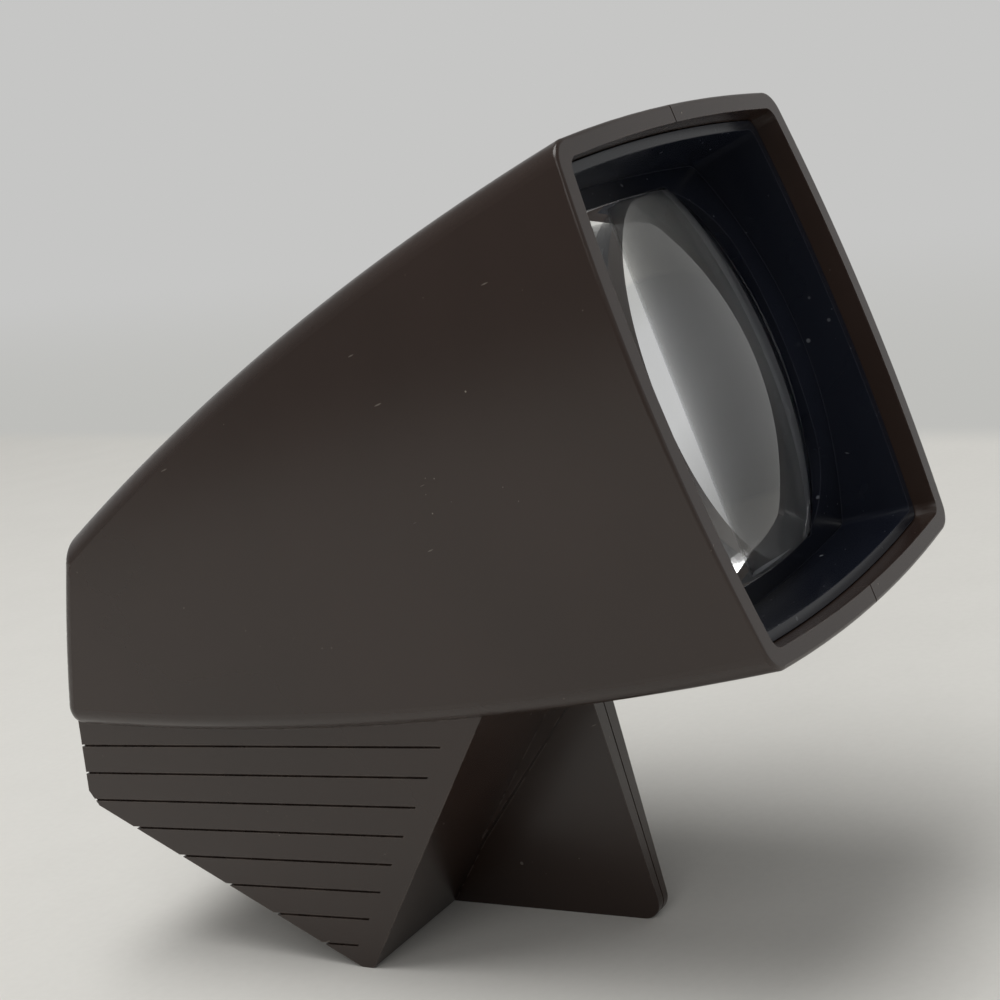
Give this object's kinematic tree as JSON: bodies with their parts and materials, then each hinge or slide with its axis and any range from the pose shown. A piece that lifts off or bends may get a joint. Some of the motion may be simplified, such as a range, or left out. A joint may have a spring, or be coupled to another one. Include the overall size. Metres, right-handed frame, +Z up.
{
  "type": "slide viewer",
  "caption": "Battery-lit hand viewer for mounted transparencies: tapered hood with a thick squared lens, ribbed battery grip and centre fin it stands on.",
  "frame": {"origin": "on the table under the middle of the viewer's length and width", "axes": "+Z up; -Y the way the lens faces; X across, the viewer is symmetric about X=0 but for its screws and contacts"},
  "size_m": [0.0684, 0.1103, 0.1079],
  "materials": {
    "left_shell": "dark brown injection-moulded styrene, semi-gloss",
    "right_shell": "dark brown injection-moulded styrene, semi-gloss",
    "battery_door": "dark brown injection-moulded styrene, semi-gloss",
    "lens": "clear polished acrylic magnifier",
    "lens_holder": "glossy blue-black plastic",
    "lens_retainer": "black plastic",
    "viewing_tunnel": "pale grey plastic lining",
    "slide_gate": "black plastic",
    "diffuser": "opal white sheet",
    "reflector": "white plastic",
    "bulb_socket": "black phenolic",
    "bulb_cap": "nickelled brass screw cap",
    "bulb_glass": "clear glass",
    "case_screws": "zinc-plated steel",
    "battery_cell_left": "plain dark cell sleeve",
    "battery_cell_right": "plain dark cell sleeve",
    "rear_cell_spring": "nickelled spring steel",
    "front_cell_spring": "nickelled spring steel",
    "rear_contact": "plated brass strip",
    "front_contact_left": "plated brass strip",
    "front_contact_right": "plated brass strip",
    "lever_pin": "steel pin",
    "lamp_lead_left": "red insulated lead",
    "lamp_lead_right": "black insulated lead",
    "lamp_lever": "off-white acetal",
    "lever_spring": "spring steel",
    "lever_contact": "plated brass strip"
  },
  "bodies": {
    "body": {"left_shell": "left_shell", "right_shell": "right_shell", "lens": "lens", "lens_holder": "lens_holder", "lens_retainer": "lens_retainer", "viewing_tunnel": "viewing_tunnel", "slide_gate": "slide_gate", "diffuser": "diffuser", "reflector": "reflector", "bulb_socket": "bulb_socket", "bulb_cap": "bulb_cap", "bulb_glass": "bulb_glass", "case_screws": "case_screws", "battery_cell_left": "battery_cell_left", "battery_cell_right": "battery_cell_right", "rear_cell_spring": "rear_cell_spring", "front_cell_spring": "front_cell_spring", "rear_contact": "rear_contact", "front_contact_left": "front_contact_left", "front_contact_right": "front_contact_right", "lever_pin": "lever_pin", "lamp_lead_left": "lamp_lead_left", "lamp_lead_right": "lamp_lead_right"},
    "lever": {"lamp_lever": "lamp_lever", "lever_spring": "lever_spring", "lever_contact": "lever_contact"},
    "door": {"battery_door": "battery_door"}
  },
  "joints": [
    {"name": "lamp_lever_press", "type": "hinge", "parent": "body", "child": "lever", "pos_m": [0, -0.0112, 0.0416], "axis": [-1, 0, 0], "range_deg": [0, 14], "stiffness_Nm_per_rad": 0.02, "springref_deg": -22.92},
    {"name": "battery_door_slide", "type": "slide", "parent": "body", "child": "door", "axis": [0, 0.8572, 0.515], "range_m": [0, 0.03]}
  ]
}
